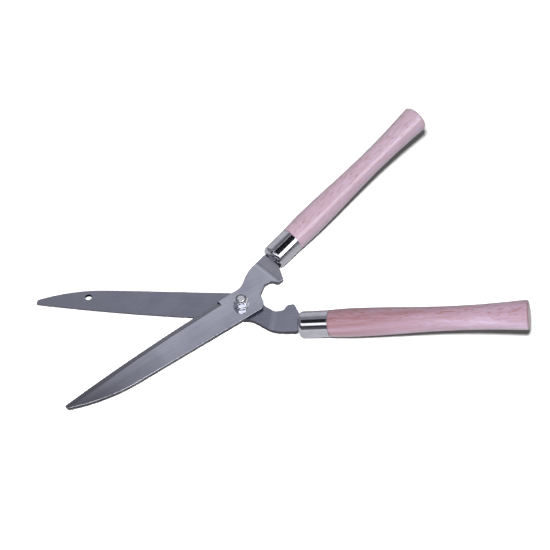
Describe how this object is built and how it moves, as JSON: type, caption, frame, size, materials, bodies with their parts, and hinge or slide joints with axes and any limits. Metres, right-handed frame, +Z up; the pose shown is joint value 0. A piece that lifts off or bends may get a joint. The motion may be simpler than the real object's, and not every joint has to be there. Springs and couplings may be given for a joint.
{
  "type": "hedge shears",
  "caption": "Hand hedge shears: long ground steel blades crossing on a bolted pivot, cranked arms with stop teeth, chromed ferrules and turned wooden handles.",
  "frame": {"origin": "on the pivot axis, at the flat underside of the pivot bolt's head", "axes": "+X along the line midway between the two handles, away from the blade tips; +Y towards the upper half's handle; +Z up the pivot axis, from the bolt head to the nut"},
  "size_m": [0.4402, 0.309, 0.0822],
  "materials": {
    "blade_steel": "satin ground steel",
    "ferrule_chrome": "polished chrome plate",
    "handle_wood": "clear lacquer on turned beech",
    "fastener_steel": "bright zinc plate",
    "insert_nylon": "grey nylon"
  },
  "bodies": {
    "lower_half": {"lower_blade": "blade_steel", "lower_ferrule": "ferrule_chrome", "lower_handle": "handle_wood", "pivot_bolt": "fastener_steel", "pivot_washer": "fastener_steel", "pivot_nut": "fastener_steel", "nut_insert": "insert_nylon"},
    "upper_half": {"upper_blade": "blade_steel", "upper_ferrule": "ferrule_chrome", "upper_handle": "handle_wood"}
  },
  "joints": [
    {"name": "blade_pivot", "type": "hinge", "parent": "lower_half", "child": "upper_half", "pos_m": [0, 0, 0.00785], "axis": [0, 0, 1], "range_deg": [-37.7, 72]}
  ]
}
